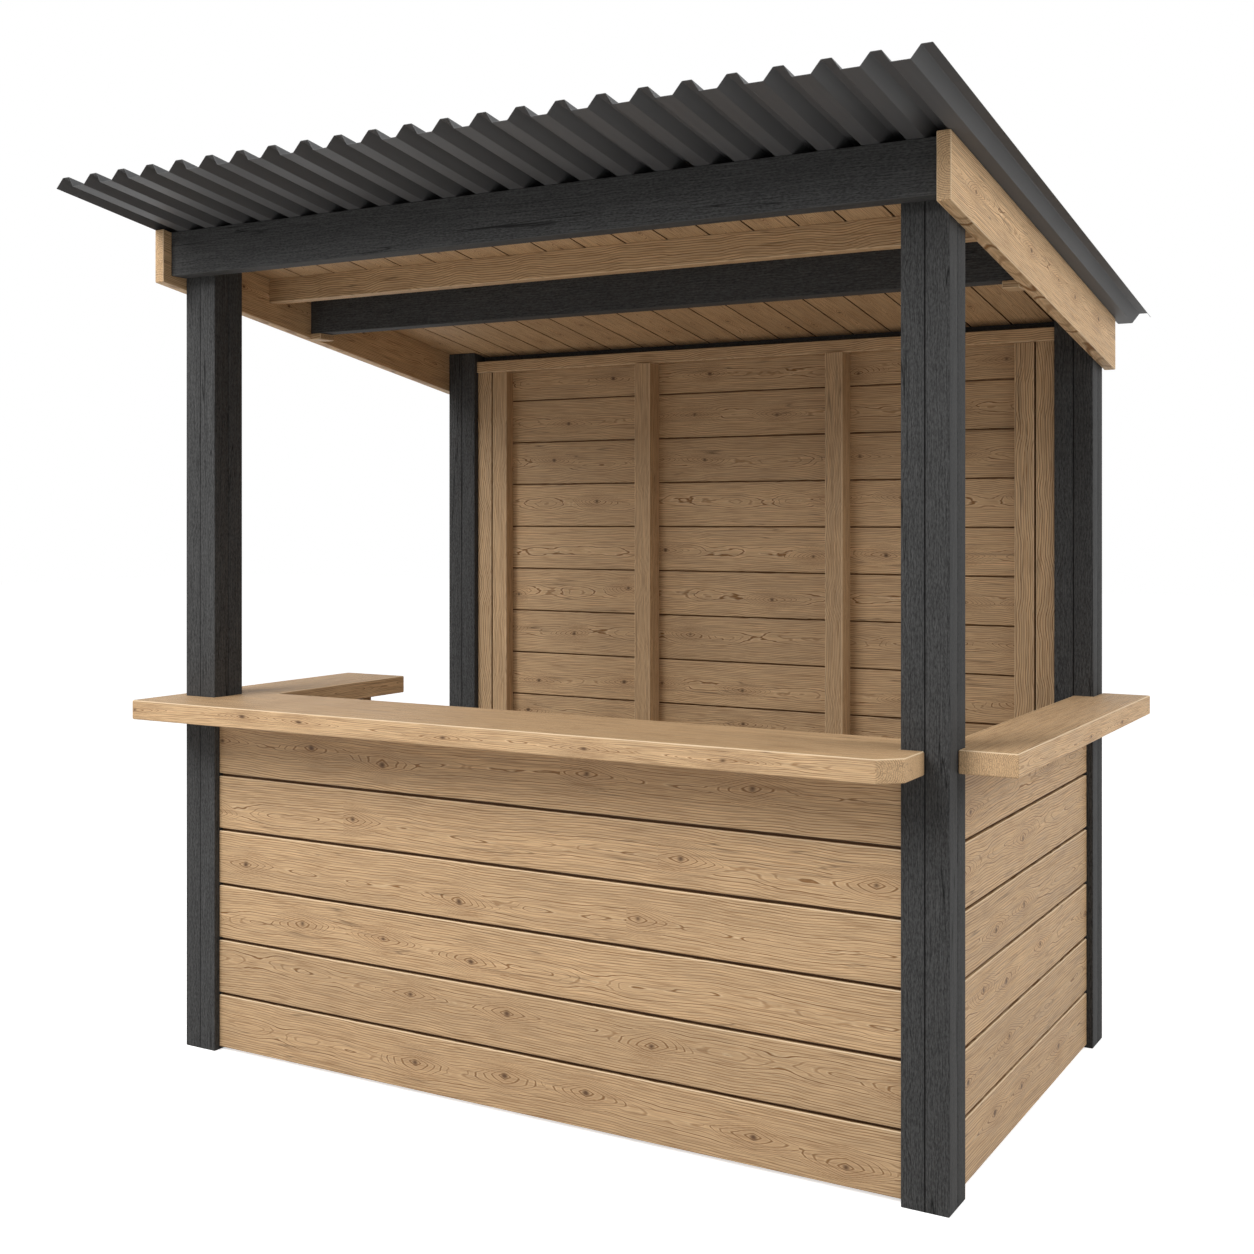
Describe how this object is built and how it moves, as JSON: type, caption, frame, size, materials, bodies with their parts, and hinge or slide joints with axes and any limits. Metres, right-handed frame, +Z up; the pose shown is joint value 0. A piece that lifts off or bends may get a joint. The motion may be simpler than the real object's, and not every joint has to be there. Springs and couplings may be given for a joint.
{
  "type": "wooden market stall",
  "caption": "Open wooden market stall with a ribbed lean-to roof on stained posts, boarded half walls under wrap-round counters, a boarded back wall and a side entrance.",
  "frame": {"origin": "on the ground, under the middle of the whole stall's box", "axes": "+Z up, -Y to the customers at the front, +X to the right seen from the front"},
  "size_m": [2.527, 1.9596, 2.4971],
  "materials": {
    "natural_wood": "oiled, satin",
    "charcoal_wood": "charcoal stain, matt",
    "charcoal_sheet": "anthracite coated sheet, satin"
  },
  "bodies": {
    "root": {"left_rafter": "natural_wood", "right_rafter": "natural_wood", "purlin": "natural_wood", "left_cleat": "natural_wood", "right_cleat": "natural_wood", "roof_boards": "natural_wood", "front_counter": "natural_wood", "right_counter": "natural_wood", "left_counter": "natural_wood", "front_wall_boards": "natural_wood", "front_wall_left_stud": "natural_wood", "front_wall_mid_left_stud": "natural_wood", "front_wall_mid_right_stud": "natural_wood", "front_wall_right_stud": "natural_wood", "right_wall_boards": "natural_wood", "right_wall_front_stud": "natural_wood", "right_wall_middle_stud": "natural_wood", "right_wall_rear_stud": "natural_wood", "left_wall_boards": "natural_wood", "left_wall_front_stud": "natural_wood", "left_wall_end_stud": "natural_wood", "back_wall_boards": "natural_wood", "back_wall_rail": "natural_wood", "back_wall_left_corner_stud": "natural_wood", "back_wall_left_stud": "natural_wood", "back_wall_mid_left_stud": "natural_wood", "back_wall_mid_right_stud": "natural_wood", "back_wall_right_stud": "natural_wood", "back_wall_right_corner_stud": "natural_wood", "front_left_post": "charcoal_wood", "front_right_post": "charcoal_wood", "rear_left_post": "charcoal_wood", "rear_right_post": "charcoal_wood", "front_beam": "charcoal_wood", "mid_beam": "charcoal_wood", "back_beam": "charcoal_wood", "front_wall_rail": "charcoal_wood", "right_wall_rail": "charcoal_wood", "left_wall_rail": "charcoal_wood", "roof_sheet": "charcoal_sheet"}
  },
  "joints": []
}
